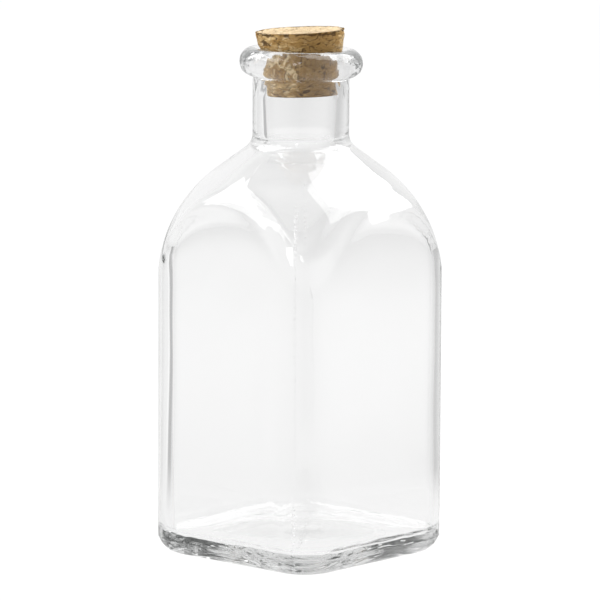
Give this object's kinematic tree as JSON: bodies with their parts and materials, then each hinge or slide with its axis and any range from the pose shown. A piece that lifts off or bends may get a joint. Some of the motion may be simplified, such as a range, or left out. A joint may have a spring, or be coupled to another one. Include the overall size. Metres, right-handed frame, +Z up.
{
  "type": "corked glass bottle",
  "caption": "Square clear glass bottle with rounded edges, a domed shoulder, a round neck with a rolled lip and a tapered cork stopper, for oil, spirits or sauce.",
  "frame": {"origin": "on the table under the bottle's axis, in the middle of the base", "axes": "+Z up along the neck's axis, +X and +Y out through two of the four flat sides, which are alike"},
  "size_m": [0.061, 0.061, 0.1415],
  "materials": {
    "clear_glass": "clear moulded glass, fire polished, with a faint grey tint in the thick places",
    "cork_stopper": "pressed cork granules, matt, with dark specks and small pits"
  },
  "bodies": {
    "bottle": {"bottle": "clear_glass"},
    "cork": {"cork": "cork_stopper"}
  },
  "joints": [
    {"name": "cork_pull", "type": "slide", "parent": "bottle", "child": "cork", "axis": [0, 0, 1], "range_m": [0, 0.04]}
  ]
}
